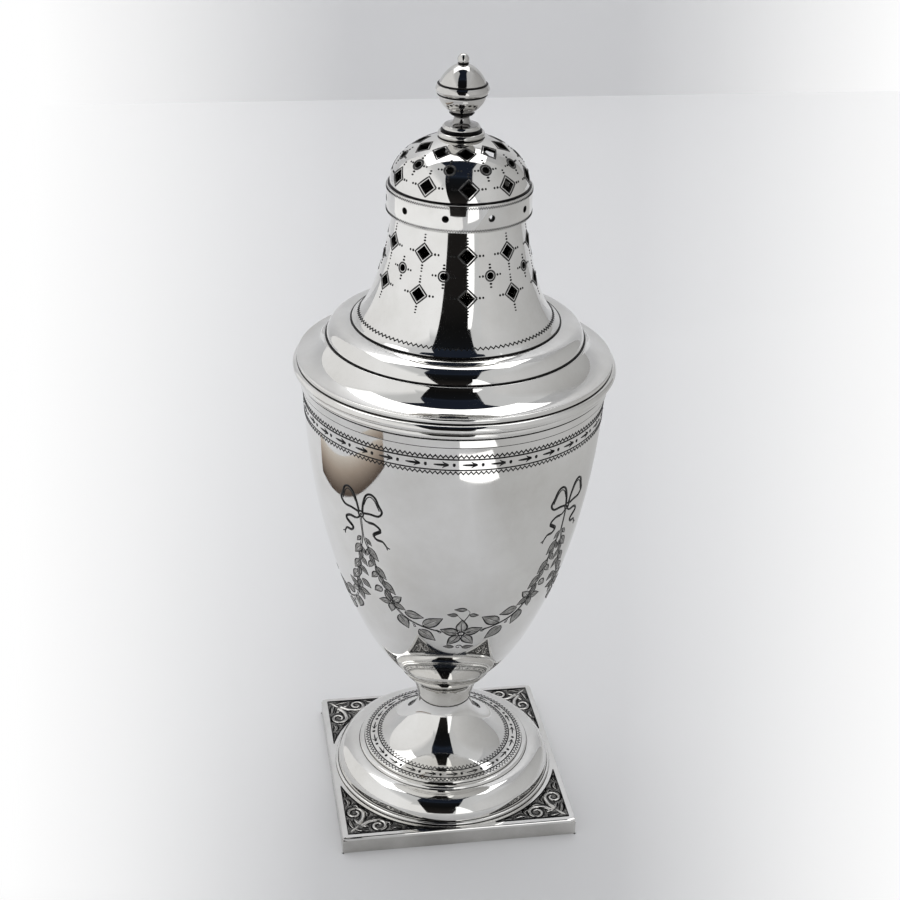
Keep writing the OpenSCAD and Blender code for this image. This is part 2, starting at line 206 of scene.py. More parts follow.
def eased(loop, size, least=28, n=4):
    """A closed outline with its sharp corners rounded off."""
    out = []
    for i, corner in enumerate(loop):
        here = Vector(corner)
        inward = Vector(loop[i - 1]) - here
        onward = Vector(loop[(i + 1) % len(loop)]) - here
        short = min(here.x, inward.length, onward.length) < 1e-6
        if short or 180 - degrees(inward.angle(onward)) < least:
            out.append(tuple(here))
            continue
        start = here + inward.normalized() * min(size, inward.length * 0.45)
        end = here + onward.normalized() * min(size, onward.length * 0.45)
        for t in evenly(n):
            out.append(tuple((1 - t) ** 2 * start + 2 * t * (1 - t) * here + t * t * end))
    return out


def repeated_round(piece, count):
    """Copies a piece round the upright axis."""
    turner = new_object(bpy.ops.object.empty_add, "turner")
    turner.rotation_euler.z = 2 * pi / count
    pick(piece)
    ring = piece.modifiers.new("ring", "ARRAY")
    ring.count = count
    ring.use_relative_offset = False
    ring.use_object_offset = True
    ring.offset_object = turner
    bpy.ops.object.modifier_apply(modifier="ring")
    bpy.data.objects.remove(turner)
    return piece


def joined(name, pieces):
    pick(pieces[0])
    for piece in pieces[1:]:
        piece.select_set(True)
    if len(pieces) > 1:
        bpy.ops.object.join()
    pieces[0].name = name
    return pieces[0]


def round_edge(r, z, size, angles):
    """Points of a round edge about (r, z), at angles from straight down."""
    return [(r + size * sin(radians(a)), z - size * cos(radians(a))) for a in angles]


def line_drawing(name, groups):
    """A curve of lines with a place and a width at each point; a group says if its lines close."""
    drawing = new_object(bpy.ops.curve.primitive_bezier_curve_add, name)
    drawing.data.splines.clear()
    for lines, closed in groups:
        for line in lines:
            spline = drawing.data.splines.new("POLY")
            spline.points.add(len(line) - 1)
            spline.use_cyclic_u = closed
            for knot, (place, width) in zip(spline.points, line):
                knot.co = (*place, 1)
                knot.radius = width
    return drawing.data


def made_mesh():
    """Makes the new drawing a mesh."""
    bpy.ops.object.convert(target="MESH")
    return bpy.context.object


def spun(name, loop, steps=TURN_STEPS, sharp=SHARP):
    """A turned piece: its half outline is drawn as a line and spun round the upright axis."""
    outline = [((r * MM, 0, z * MM), 1) for r, z in loop]
    off_axis = max(loop[0][0], loop[-1][0]) > 1e-6
    line_drawing(name, [([outline], off_axis)])
    piece = made_mesh()
    edit_all()
    bpy.ops.mesh.spin(steps=steps // SECTORS, angle=2 * pi / SECTORS, center=(0, 0, 0), axis=(0, 0, 1))
    leave_edit()
    return sealed(repeated_round(piece, SECTORS), sharp)


def paint_shade_inside(piece, outline, skin=0.06):
    """Paints shade on every face below a wall's outer skin, with a dark silver."""
    piece.data.materials.append(inside_painted_shade)
    wrap = Wrapped(outline)
    for face in piece.data.polygons:
        x, y, z = face.center / MM
        r = hypot(x, y)
        spot = wrap.nearest(r, z)[0]
        if hypot(r - spot[0], z - spot[1]) > skin:
            face.material_index = 1


def paint(piece, material):
    piece.data.materials.clear()
    piece.data.materials.append(material)


def finished(piece, body, material, nodes=()):
    """Gives a piece its finish and hangs it on its body."""
    paint(piece, material)
    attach(piece, body)
    if nodes:
        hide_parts(*nodes)
    return piece


# Engraving helpers. A stroke is a list of points with a width at each, drawn flat in millimetres

def even(points, width):
    return [(x, y, width) for x, y in points]


def swelling(points, width, least=0.35):
    last = len(points) - 1
    return [(x, y, width * (least + (1 - least) * sin(pi * i / last))) for i, (x, y) in enumerate(points)]


def tapering(points, width, least=0.25):
    last = len(points) - 1
    return [(x, y, width * (1 - (1 - least) * i / last)) for i, (x, y) in enumerate(points)]


def turned(strokes, turn, shift=(0, 0), mirror=False):
    """Strokes turned, mirrored if asked and then shifted."""
    c = cos(radians(turn))
    s = sin(radians(turn))
    flip = -1 if mirror else 1
    return [[(shift[0] + flip * (x * c - y * s), shift[1] + (x * s + y * c), w) for x, y, w in stroke]
            for stroke in strokes]


class Wrapped:
    """A spun surface, unrolled: degrees round from the front and millimetres along its outline."""

    def __init__(self, outline):
        self.outline = outline
        self.lengths = [0]
        for (r0, z0), (r1, z1) in zip(outline, outline[1:]):
            self.lengths.append(self.lengths[-1] + hypot(r1 - r0, z1 - z0))

    def point(self, along):
        i = bisect_left(self.lengths, along, 1, len(self.lengths) - 1) - 1
        t = (along - self.lengths[i]) / (self.lengths[i + 1] - self.lengths[i])
        (r0, z0), (r1, z1) = self.outline[i], self.outline[i + 1]
        return r0 + (r1 - r0) * t, z0 + (z1 - z0) * t

    def along(self, axis, value):
        """How far along the outline a value of its RADIUS or its HEIGHT is met."""
        for i, (start, end) in enumerate(zip(self.outline, self.outline[1:])):
            low, high = sorted((start[axis], end[axis]))
            if low <= value <= high:
                span = self.lengths[i + 1] - self.lengths[i]
                return self.lengths[i] + span * (value - start[axis]) / (end[axis] - start[axis])
        return self.lengths[-1]

    def nearest(self, r, z, reach=8):
        """The closest spot of the outline, the way out from it and the height above it."""
        best = None
        for (r0, z0), (r1, z1) in zip(self.outline, self.outline[1:]):
            if abs(r - r0) + abs(z - z0) > reach:
                continue
            dr, dz = r1 - r0, z1 - z0
            t = min(max(((r - r0) * dr + (z - z0) * dz) / (dr * dr + dz * dz), 0), 1)
            spot = (r0 + dr * t, z0 + dz * t)
            gap = hypot(r - spot[0], z - spot[1])
            if best is None or gap < best[0]:
                run = hypot(dr, dz)
                best = (gap, spot, (dz / run, -dr / run))
        _, spot, out = best
        return spot, out, (r - spot[0]) * out[0] + (z - spot[1]) * out[1]

    def place(self, angle, along):
        r, z = self.point(along)
        a = radians(angle)
        return Vector((r * sin(a), -r * cos(a), z)) * MM

    def lay(self, strokes, angle, along):
        """Lays flat strokes on the surface round one spot."""
        def spot(x, y):
            r, _ = self.point(along + y)
            return self.place(angle + degrees(x / r), along + y)
        return [[(spot(x, y), w) for x, y, w in stroke] for stroke in strokes]

    def ring(self, along, width, wave=0, waves=0):
        """A line all the way round, straight or zigzag."""
        total = waves * 2 or RING_STEPS
        rises = (-wave / 2, wave / 2)
        return [(self.place(360 * i / total, along + rises[i % 2]), width) for i in range(total)]


def engraved(name, open_lines, closed_lines=(), wrap=None):
    """Engraved lines: curves laid on the metal and made one mesh, pressed flat on a given surface."""
    lines = line_drawing(name, ((open_lines, False), (closed_lines, True)))
    lines.bevel_depth = MM / 2 * (2 ** 0.5 if wrap else 1)
    lines.bevel_resolution = 0
    lines.use_fill_caps = True
    drawing = made_mesh()
    if wrap:
        press(drawing, wrap)
    return drawing


def press(drawing, wrap, share=0.25, least=0.03, sunk=0.01):
    """Lets lines stand only a little proud, so that they don't thicken where the metal turns away."""
    for vertex in drawing.data.vertices:
        x, y, z = vertex.co / MM
        r = hypot(x, y)
        (skin_r, skin_z), (out_r, out_z), lift = wrap.nearest(r, z)
        if lift > -sunk:
            height = least + share * max(lift, 0)
            new_r = skin_r + out_r * height
            vertex.co = Vector((x * new_r / r, y * new_r / r, skin_z + out_z * height)) * MM


def circle(width, tall, sides):
    """A closed ring of points, from its half width and half height."""
    return [(width * cos(2 * pi * t), tall * sin(2 * pi * t)) for t in evenly(sides)]


def dot(width):
    """A punched dot, as a very short stroke."""
    half = width * 0.5
    return [(-half, 0, width * 0.4), (-half * 0.5, 0, width), (half * 0.5, 0, width), (half, 0, width * 0.4)]


def leaf(length, breadth, line=0.2):
    """A pointed leaf along +X: its edges and midrib, and the fine lines that shade it."""
    upper = [(length * t, breadth * 0.5 * sin(pi * t ** 0.75) * (1 - 0.4 * t ** 3))
             for t in (0, .1, .22, .36, .5, .65, .8, .92, 1)]
    lower = [(x, -y) for x, y in upper]
    midrib = tapering([(0, 0), (length * 0.5, 0.02 * length), (length * 0.9, 0)], line * 0.8)
    edges = [swelling(upper, line * 1.1), swelling(lower, line * 1.5), midrib]
    rows = max(1, round(breadth * 1.2))
    shading = [even([(x, y * i / (rows + 1)) for x, y in side[1:-1]], 0.16)
               for i in range(1, rows + 1) for side in (upper, lower)]
    return edges, shading


def flower(size, petals, line=0.2, turn=90):
    """A flower with pointed petals round a small ring."""
    eye = size * 0.14
    edges = [even(circle(eye, eye, 8), line * 1.3), dot(line * 1.2)]
    shading = []
    for i in range(petals):
        angle = turn + 360 * i / petals
        start = (eye * cos(radians(angle)), eye * sin(radians(angle)))
        for drawn, strokes in zip((edges, shading), leaf(size - eye, size * 0.5, line)):
            drawn.extend(turned(strokes, angle, start))
    return edges, shading


# Materials

def shader_nodes(name):
    material = bpy.data.materials.new(name)
    material.use_nodes = True
    tree = material.node_tree
    return material, tree, tree.nodes["Principled BSDF"]


def feed(tree, socket, value):
    """Sets a socket, or links it where the value is another node's output."""
    if isinstance(value, bpy.types.NodeSocket):
        tree.links.new(value, socket)
    else:
        socket.default_value = value


def fill(tree, node, **inputs):
    for name, value in inputs.items():
        feed(tree, node.inputs[name.replace("_", " ")], value)
    return node


def added(tree, kind, **inputs):
    """A new shader node with its inputs filled."""
    return fill(tree, tree.nodes.new("ShaderNode" + kind), **inputs)


def ramp(tree, source, stops):
    node = added(tree, "ValToRGB", Fac=source)
    while len(node.color_ramp.elements) < len(stops):
        node.color_ramp.elements.new(0.5)
    for element, (position, colour) in zip(node.color_ramp.elements, stops):
        element.position = position
        element.color = (*colour, 1)
    return node.outputs["Color"]


def noise(tree, place, scale, detail, roughness=0.5):
    node = added(tree, "TexNoise", Vector=place, Scale=scale, Detail=detail, Roughness=roughness)
    return node.outputs["Fac"]


def greys(*stops):
    """Stops of a ramp, each from a position and a grey level."""
    return [(position, (grey,) * 3) for position, grey in stops]


def object_place(tree):
    return added(tree, "TexCoord").outputs["Object"]


def silver(name, clear, cloudy, low_rough, high_rough, waviness):
    """Hand-polished silver: faint clouding, fine wear and a slightly uneven surface."""
    material, tree, shader = shader_nodes(name)
    place = object_place(tree)
    colour = ramp(tree, noise(tree, place, 38, 6, 0.62), [(0.36, cloudy), (0.62, clear)])
    rough = ramp(tree, noise(tree, place, 420, 4, 0.7), greys((0.35, low_rough), (0.75, high_rough)))
    bump = added(tree, "Bump", Strength=waviness, Distance=0.0002, Height=noise(tree, place, 90, 2))
    fill(tree, shader, Base_Color=colour, Metallic=1, Roughness=rough, Normal=bump.outputs["Normal"])
    return material


def cut_metal(name, dark, light, scale):
    """The dull, darkened metal at the bottom of a graver's cut."""
    material, tree, shader = shader_nodes(name)
    mottle = ramp(tree, noise(tree, object_place(tree), scale, 3), [(0.35, dark), (0.7, light)])
    fill(tree, shader, Base_Color=mottle, Metallic=1, Roughness=0.42)
    return material


polish = silver("polished_silver", (0.83, 0.825, 0.81), (0.72, 0.71, 0.685), 0.025, 0.075, 0.025)
# Painted shade: a darker silver for the finial and the plinth's scrolls, standing in for dark reflections
dimmed_painted_shade = silver("dimmed_painted_shade_silver", (0.72, 0.71, 0.69), (0.55, 0.54, 0.52), 0.03, 0.09, 0.03)
# Painted shade: a dark silver for the finial's spool, standing in for the dark reflections in its neck
spool_painted_shade = silver("spool_painted_shade_silver", (0.46, 0.45, 0.44), (0.22, 0.215, 0.21), 0.05, 0.12, 0.03)
# Scuffs and painted shade: a darker silver for the plinth's sides
scuffed_and_shaded = silver("scuffed_and_shaded_silver", (0.66, 0.65, 0.63), (0.46, 0.45, 0.43), 0.12, 0.26, 0.05)
# Painted shade: a very dark silver for the faces inside the walls and openings, and for the hidden stud and
# nut
inside_painted_shade = silver("inside_silver_painted_shade", (0.12, 0.118, 0.11), (0.06, 0.058, 0.055), 0.3, 0.5, 0.05)
engraving = cut_metal("engraved_line", (0.008, 0.008, 0.009), (0.05, 0.05, 0.05), 900)
shallow = cut_metal("shallow_cut", (0.05, 0.05, 0.051), (0.15, 0.148, 0.145), 900)
hatched = cut_metal("hatched_silver", (0.27, 0.268, 0.26), (0.48, 0.475, 0.46), 900)
# Painted shade, with some tarnish: near-black lines in the joints and under the finial's rings and ball
joint_shade_and_tarnish = cut_metal("joint_shade_and_tarnish", (0.004, 0.004, 0.005), (0.022, 0.021, 0.02), 700)
ground = cut_metal("shaded_ground", (0.035, 0.035, 0.035), (0.27, 0.265, 0.255), 2600)


def lathe(name, node, body, loop, material=polish, steps=TURN_STEPS, sharp=SHARP):
    """Spins an outline into a finished piece that takes a solid's place."""
    finished(spun(name, loop, steps, sharp), body, material, [node])


# Plinth

PLINTH_SHARP = 12
STRIP_WALL = 1.2
wire_in = wire_r - 2.2


def square(half, soft=0.35):
    """How far out a square with eased corners goes at each angle."""
    return lambda a: min(half / max(abs(cos(a)), abs(sin(a))), half * 2 ** 0.5 - soft)


def make_plate():
    """The plinth's plate, drawn out from its round hole to its square edge and back below."""
    def hole(_):
        return wire_in

    edge = 0.3
    slope = edge * 0.3
    plate = new_object(bpy.ops.mesh.primitive_circle_add, "plinth_top", vertices=TURN_STEPS,
                       radius=wire_in * MM, location=(0, 0, plate_foot * MM))
    bpy.ops.object.transform_apply()
    edit_all()
    for reach, z in ((hole, plate_top), (square(plinth_half - edge), plate_top),
                     (square(plinth_half - slope), plate_top - slope),
                     (square(plinth_half), plate_top - edge),
                     (square(plinth_half), plate_foot), (hole, plate_foot)):
        bpy.ops.mesh.extrude_region_move()
        leave_edit()
        for vertex in plate.data.vertices:
            if vertex.select:
                a = atan2(vertex.co.y, vertex.co.x)
                vertex.co = Vector((reach(a) * cos(a), reach(a) * sin(a), z)) * MM
        enter_edit()
    leave_edit()
    finished(sealed(plate, PLINTH_SHARP), "vase", polish, nodes=["plinth_plate"])


def make_strip():
    """The mitred strip under the plate."""
    strip = new_object(bpy.ops.mesh.primitive_plane_add, "plinth_sides", size=2 * plinth_half * MM)
    enter_edit()
    bpy.ops.mesh.inset(thickness=STRIP_WALL * MM)
    bpy.ops.mesh.delete(type="FACE")
    edit_all()
    bpy.ops.mesh.extrude_region_move(TRANSFORM_OT_translate={"value": (0, 0, plate_foot * MM)})
    edit_all()
    bpy.ops.mesh.normals_make_consistent()
    leave_edit()
    near = 0.01 * MM
    corner = plinth_half * MM - near
    bevel_edges(strip, lambda a, b: abs(a.z - b.z) > near and min(abs(a.x), abs(a.y)) > corner, 0.3)
    bevel_edges(strip, lambda a, b: max(a.z, b.z) < near and on_side(a) and on_side(b), 0.2)
    # The sides take a darker silver: scuffs and painted shade.
    finished(smooth(strip, PLINTH_SHARP), "vase", scuffed_and_shaded, nodes=["plinth_strip"])


def on_side(spot):
    """True for a point on the plinth's outer faces or their rounded corners."""
    return max(abs(spot.x), abs(spot.y)) > (plinth_half - 0.45) * MM


def bevel_edges(piece, chosen, size, segments=3):
    """Rounds the edges that the test chooses by their two ends."""
    pick(piece)
    enter_edit()
    bpy.ops.mesh.select_mode(type="EDGE")
    bpy.ops.mesh.select_all(action="DESELECT")
    leave_edit()
    mesh = piece.data
    for edge in mesh.edges:
        edge.select = chosen(*(mesh.vertices[i].co for i in edge.vertices))
    enter_edit()
    bpy.ops.mesh.bevel(offset=size * MM, segments=segments)
    bpy.ops.mesh.select_mode(type="VERT")
    leave_edit()


# Outlines of the vase, each from its seat upward

band_r_foot = bulge_r - 7.1
bead_r_foot = bulge_r - 5.7
bead_z = foot_z + 5.6
band_foot_z = bead_z + 0.8
band_top_z = band_foot_z + 0.7
neck_r = 6.75
bowl_foot_r = 12.5

bulge_line = curve((bulge_r, foot_z), (bulge_r, foot_z + 3.36),
                   (bead_r_foot + 3.42, bead_z), (bead_r_foot, bead_z), 30)
foot_bead_line = curve((bead_r_foot, bead_z), (bead_r_foot, bead_z + 0.8),
                       (band_r_foot + 0.84, band_foot_z), (band_r_foot, band_foot_z), 10)
trumpet_line = curve((band_r_foot, band_top_z), (band_r_foot - 8.5, band_top_z + 1.2),
                     (neck_r, stem_z - 5.5), (neck_r, stem_z), 48)
stem_line = curve((neck_r, stem_z), (neck_r + 2, bowl_z - 2.6),
                  (bowl_foot_r - 1.3, bowl_z - 4.1), (bowl_foot_r, bowl_z), 32)
bowl_line = curve((bowl_foot_r, bowl_z), (bowl_foot_r + 9.4, bowl_z + 8.6),
                  (mouth_r - 1.1, reeds_z - 40), (mouth_r, reeds_z), 90)


def make_foot_and_stem():
    edge = 0.4
    ring = [(wire_in, plate_top), (wire_r - edge, plate_top)]
    ring += round_edge(wire_r - edge, plate_top + edge, edge, range(15, 180, 15))
    ring += [(wire_r - edge, foot_z), (wire_in, foot_z)]
    lathe("foot_ring", "foot_wire", "vase", ring)
    outside = bulge_line + foot_bead_line[1:-1] + [(band_r_foot, band_foot_z)] + trumpet_line
    hollow = inset(bulge_line, SHEET)[1:] + [(band_r_foot - SHEET, band_foot_z - SHEET)]
    hollow += inset(trumpet_line, SHEET)[1:-1]
    shell = outside + [(neck_r - SHEET, stem_z)] + hollow[::-1] + [(bulge_r - SHEET, foot_z)]
    lathe("foot_spread", "foot_shell", "vase", eased(shell, 0.12))
    knop = [(0, stem_z)] + stem_line + [(0, bowl_z)]
    lathe("stem_knop", "stem", "vase", eased(knop, 0.12))


def make_bowl():
    hollow = inset(bowl_line, SHEET)
    wall = [(0, bowl_z)] + bowl_line + [(mouth_r, lip_z), (mouth_r - SHEET, lip_z)]
    wall += hollow[::-1] + [(0, hollow[0][1])]
    lathe("urn_bowl", "bowl", "vase", eased(wall, 0.12))


def make_rim():
    inside = mouth_r + 0.03
    reed = 0.95
    reed_x = reeds_r - reed
    fillet = inside + 0.4
    start = degrees(asin((fillet - reed_x) / reed))
    reeds = [(inside, reeds_z), (fillet, reeds_z)]
    reeds += round_edge(reed_x, lip_z - reed, reed, [start + (180 - start) * t for t in evenly(22)])
    reeds += [(inside, lip_z)]
    lathe("urn_reeds", "rim_reeds", "vase", eased(reeds, 0.08))
    half = (lip_top - lip_z) / 2
    lip = [(mouth_r - SHEET, lip_z), (lip_r - half, lip_z)]
    lip += round_edge(lip_r - half, lip_z + half, half, range(8, 180, 8))
    lip += [(lip_r - half, lip_top), (mouth_r - SHEET, lip_top)]
    lathe("urn_lip", "rim_bead", "vase", eased(lip, 0.15, 40))


# Outlines of the cover, each from its seat upward

ledge_r = step_r - 5.4
bell_top_r = band_r - 1.6
brim_foot = (brim_r - 0.6, brim_z + 1.3)
brim_top = (step_r + 0.7, step_z - 0.5)
brim_run = brim_foot[0] - brim_top[0]
brim_rise = brim_top[1] - brim_foot[1]
brim_edge_line = curve((brim_r, brim_z + 0.3), (brim_r, brim_foot[1]), (brim_r, brim_foot[1]), brim_foot, 10)
brim_line = curve(brim_foot, (brim_foot[0] - 0.5 * brim_run, brim_foot[1] + 0.15 * brim_rise),
                  (brim_top[0] + 0.15 * brim_run, brim_top[1] - 0.5 * brim_rise), brim_top, 40)
brim_fillet_line = curve(brim_top, (brim_top[0] - 0.175, step_z), (brim_top[0] - 0.175, step_z),
                         (step_r, step_z), 8)
step_line = curve((step_r, step_z), (step_r, step_z + 2.4),
                  (ledge_r + 3.24, bell_z), (ledge_r, bell_z), 30)
bell_line = curve((bell_r - 0.6, bell_z + 0.7), (bell_r - 5.6, bell_z + 4.4),
                  (bell_top_r + 1.4, band_z - 7.5), (bell_top_r, band_z), 64)
dome_seat_r = finial_r - 0.4
dome_h = (finial_z - dome_z) / sin(acos(dome_seat_r / dome_r))
dome_end = acos(dome_seat_r / dome_r)
dome_line = [(dome_r * cos(dome_end * t), dome_z + dome_h * sin(dome_end * t)) for t in evenly(44)]
bell_wrap = Wrapped(bell_line)
band_wrap = Wrapped([(band_r, band_z), (band_r, dome_z)])
dome_wrap = Wrapped(dome_line)

# Openings: ten columns of diamonds, and ten of rounds halfway between them.
# Each has its sides, turn, height and width, and the width of the outline round it

DIAMOND = 4
ROUND = 40
PIERCE_COUNT = 10
COLUMN = -2
BETWEEN = COLUMN + 18
bell_openings = (
    (DIAMOND, COLUMN, bell_z + 11.8, 3.4, 4.3),
    (ROUND, BETWEEN, bell_z + 16.4, 1.65, 2.4),
    (DIAMOND, COLUMN, bell_z + 20.9, 3.4, 4.3),
)
band_openings = ((ROUND, BETWEEN, (band_z + dome_z) / 2, 1.6, 0),)
dome_openings = (
    (DIAMOND, COLUMN, dome_z + 3.2, 3.6, 4.55),
    (ROUND, BETWEEN, dome_z + 6.7, 1.8, 2.4),
    (DIAMOND, COLUMN, dome_z + 9.3, 3.8, 4.6),
)


def saw(wrap, sides, angle, z, width):
    """The path of a saw through the sheet, square to it and with one corner up it."""
    near = 0.2
    along = wrap.along(HEIGHT, z)
    up = (wrap.place(angle, along + near) - wrap.place(angle, along - near)).normalized()
    across = Vector((cos(radians(angle)), sin(radians(angle)), 0))
    turn = Matrix((across, up, across.cross(up))).transposed().to_4x4()
    path = new_object(bpy.ops.mesh.primitive_cylinder_add, "saw", vertices=sides,
                      radius=width / 2 * MM, depth=6 * SHEET * MM)
    path.matrix_world = Matrix.Translation(wrap.place(angle, along)) @ turn
    bpy.ops.object.transform_apply()
    return path


def pierced(piece, node, wrap, openings, skin):
    """Saws one set of openings, repeated all round, and paints shade on all below the outer skin."""
    saws = joined("saws", [saw(wrap, *opening[:4]) for opening in openings])
    repeated_round(saws, PIERCE_COUNT)
    pick(piece)
    less = piece.modifiers.new("less", "BOOLEAN")
    less.operation = "DIFFERENCE"
    less.solver = "EXACT"
    less.object = saws
    bpy.ops.object.modifier_apply(modifier="less")
    bpy.data.objects.remove(saws)
    finished(smooth(piece), "cover", polish, nodes=[node])
    paint_shade_inside(piece, skin)


def make_cover_base():
    collar = [(bezel_r - SHEET, bezel_z), (bezel_r, bezel_z), (bezel_r, brim_z), (bezel_r - SHEET, brim_z)]
    lathe("cover_collar", "cover_bezel", "cover", eased(collar, 0.15))
    land = brim_r - 3.2
    hollow = [p for p in inset(brim_line, SHEET)[1:-1] if p[0] < land]
    brim = [(land, brim_z), (brim_r - 0.3, brim_z)] + brim_edge_line + brim_line[1:-1] + brim_fillet_line
    brim += [(step_r - SHEET, step_z)] + hollow[::-1]
    lathe("cover_brim_ring", "cover_brim", "cover", eased(brim, 0.1))
    inside = ledge_r - 0.5 - SHEET
    step = step_line + [(inside, bell_z), (inside, bell_z - SHEET)]
    step += inset(step_line, SHEET)[1:-1][::-1] + [(step_r - SHEET, step_z)]
    lathe("cover_step_ring", "cover_step", "cover", eased(step, 0.1))


def make_bell():
    foot = [(bell_r, bell_z), (bell_r, bell_z + 0.35)]
    hollow = inset(bell_line, SHEET)
    wall = [(bell_r - SHEET, bell_z)] + foot + bell_line
    wall += [(bell_top_r - SHEET, band_z)] + hollow[1:-1][::-1]
    bell = spun("cover_bell_shell", eased(wall, 0.12))
    pierced(bell, "cover_bell", bell_wrap, bell_openings, foot + bell_line[::2])


def make_band():
    flange = bell_top_r - SHEET
    inner = band_r - 1.4
    skin = [(flange, band_z), (band_r, band_z), (band_r, dome_z), (inner, dome_z)]
    ring = skin + [(inner, band_z + SHEET), (flange, band_z + SHEET)]
    band = spun("cover_band_ring", eased(ring, 0.25, 28, 5))
    pierced(band, "cover_band", band_wrap, band_openings, skin)


def make_dome():
    hollow = inset(dome_line, SHEET)
    skin = dome_line + [(BORE, finial_z)]
    wall = skin + [(BORE, finial_z - SHEET), (dome_seat_r - SHEET, finial_z - SHEET)]
    wall += hollow[1:-1][::-1] + [(dome_r - SHEET, dome_z)]
    dome = spun("cover_dome_shell", eased(wall, 0.1))
    pierced(dome, "cover_dome", dome_wrap, dome_openings, skin)


def make_finial():
    # The finial takes the darker silver with painted shade, unless told otherwise.
    def fit(name, node, loop, ease=0.1, material=dimmed_painted_shade):
        lathe(name, node, "cover", eased(loop, ease), material, SMALL_STEPS)

    ring_r = 0.65
    disc_r = 4.3
    disc_z = spool_z + 0.5
    foot = [(BORE, finial_z), (finial_r - ring_r, finial_z)]
    foot += round_edge(finial_r - ring_r, finial_z + ring_r, ring_r, range(12, 205, 12))
    foot += [(disc_r - 0.12, finial_z + 1.35), (disc_r, disc_z - 0.5), (disc_r - 0.5, disc_z), (BORE, disc_z)]
    fit("finial_disc", "finial_foot", foot, 0.12)
    waist_z = (disc_z + cup_z) / 2 + 0.2
    waist_r = 1.75
    top_r = 2.5
    spool = [(BORE, disc_z)]
    spool += curve((spool_r, disc_z), (waist_r + 0.3, disc_z + 0.1),
                   (waist_r, waist_z - 0.6), (waist_r, waist_z), 16)
    spool += curve((waist_r, waist_z), (waist_r, waist_z + 0.5),
                   (top_r - 0.3, cup_z - 0.6), (top_r, cup_z - 0.35), 12)[1:]
    spool += [(top_r, cup_z), (BORE, cup_z)]
    # The spool takes a dark silver: painted shade.
    fit("finial_spool", "finial_stem", spool, material=spool_painted_shade)
    cup_h = girdle_z - cup_z
    socket = girdle_z - 1.2
    cup = [(BORE, cup_z)]
    cup += curve((top_r, cup_z), ((cup_r + top_r) / 2, cup_z + cup_h * 0.25),
                 (cup_r, cup_z + cup_h * 0.6), (cup_r, girdle_z), 24)
    cup += [(0, girdle_z), (0, socket), (BORE, socket)]
    fit("finial_bowl", "finial_cup", cup)
    belt_h = cap_z - girdle_z
    belt_r = cup_r + (girdle_r - cup_r) * 1.33
    belt = curve((cup_r, girdle_z), (belt_r, girdle_z + belt_h * 0.25),
                 (belt_r, girdle_z + belt_h * 0.75), (cap_r + 0.2, cap_z), 20)
    fit("finial_belt", "finial_girdle", [(0, girdle_z)] + belt + [(0, cap_z)], 0.06)
    centre = crown_z - ball_r
    lift = centre - ball_z
    ball_seat = (ball_r ** 2 - lift ** 2) ** 0.5
    cap = curve((cap_r, cap_z), (cap_r - 0.2, cap_z + 1.3),
                (ball_seat + 2.1, ball_z - 0.35), (ball_seat, ball_z), 28)
    fit("finial_top", "finial_cap", [(0, cap_z)] + cap + [(0, ball_z)])
    low = degrees(acos(lift / ball_r))
    ball = round_edge(0, centre, ball_r, [low + (180 - low) * t for t in evenly(28)[:-1]])
    lathe("finial_ball", "finial_bead", "cover", [(0, ball_z)] + ball + [(0, crown_z)], dimmed_painted_shade, SMALL_STEPS, 50)
    # The stud and nut inside the dome get the same painted shade.
    for node in ("finial_stud", "finial_nut"):
        paint(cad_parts[node], inside_painted_shade)


# Painted shade in the joints between parts and under their edges, with some tarnish

def make_joint_lines(name, body, rings):
    """Dark lines all the way round, each from its radius, height and width."""
    lines = [Wrapped([(r, z), (r, z + 1)]).ring(0, width) for r, z, width in rings]
    finished(engraved(name, [], lines), body, joint_shade_and_tarnish)


urn_joints = (
    (wire_r - 0.06, plate_top + 0.03, 0.2),
    (bulge_r + 0.03, foot_z + 0.02, 0.18),
    (bead_r_foot + 0.02, bead_z, 0.2),
    (band_r_foot + 0.02, band_foot_z + 0.02, 0.22),
    (neck_r + 0.02, stem_z, 0.16),
    (bowl_foot_r, bowl_z, 0.16),
    (mouth_r + 0.26, reeds_z - 0.04, 0.34),
    (mouth_r + 0.52, lip_z - 2.02, 0.36),
    (reeds_r - 0.2, lip_z - 0.18, 0.42),
)
cover_joints = (
    (brim_r - 0.22, brim_z + 0.02, 0.6),
    (step_r + 0.1, step_z + 0.08, 0.56),
    (bell_r + 0.1, bell_z + 0.08, 0.56),
    (dome_r + 0.1, dome_z + 0.08, 0.62),
    (finial_r - 0.48, finial_z - 0.12, 0.92),
    (4.25, finial_z + 1.6, 0.9),
    (2.45, cup_z - 0.08, 0.8),
    (cup_r + 0.02, girdle_z - 0.04, 0.42),
    (cap_r + 0.05, cap_z + 0.08, 0.56),
    (1.02, ball_z + 0.12, 0.5),
)


# Engraving on the bowl and the foot

bowl_wrap = Wrapped(bowl_line + [(mouth_r, lip_z)])
trumpet_wrap = Wrapped(trumpet_line)


def arrow(length, line, barb):
    """A dart pointing right, cut as a wedge with two swept barbs."""
    tip = length / 2
    back = tip - 1.7 * barb
    wedge = swelling([(tip * t, 0) for t in (-1, -0.5, 0.1, 0.7, 1)], line * 1.5)
    return [wedge] + [tapering([(tip, 0), (back + 0.5 * barb, 0.55 * side), (back, side)], line * 1.2)
                      for side in (barb, -barb)]


def make_border(name, wrap, axis, middle, first, count, strokes, rings):
    """A border: darts and dots repeated all round, between plain lines and zigzags. A ring has its
    radius or height, its width and, for a zigzag, its depth and number of waves."""
    darts = engraved(name + "_darts", wrap.lay(strokes, first, wrap.along(axis, middle)), wrap=wrap)
    lines = engraved(name, [], [wrap.ring(wrap.along(axis, spot), *line) for spot, *line in rings], wrap)
    finished(joined(name, [lines, repeated_round(darts, count)]), "vase", engraving)


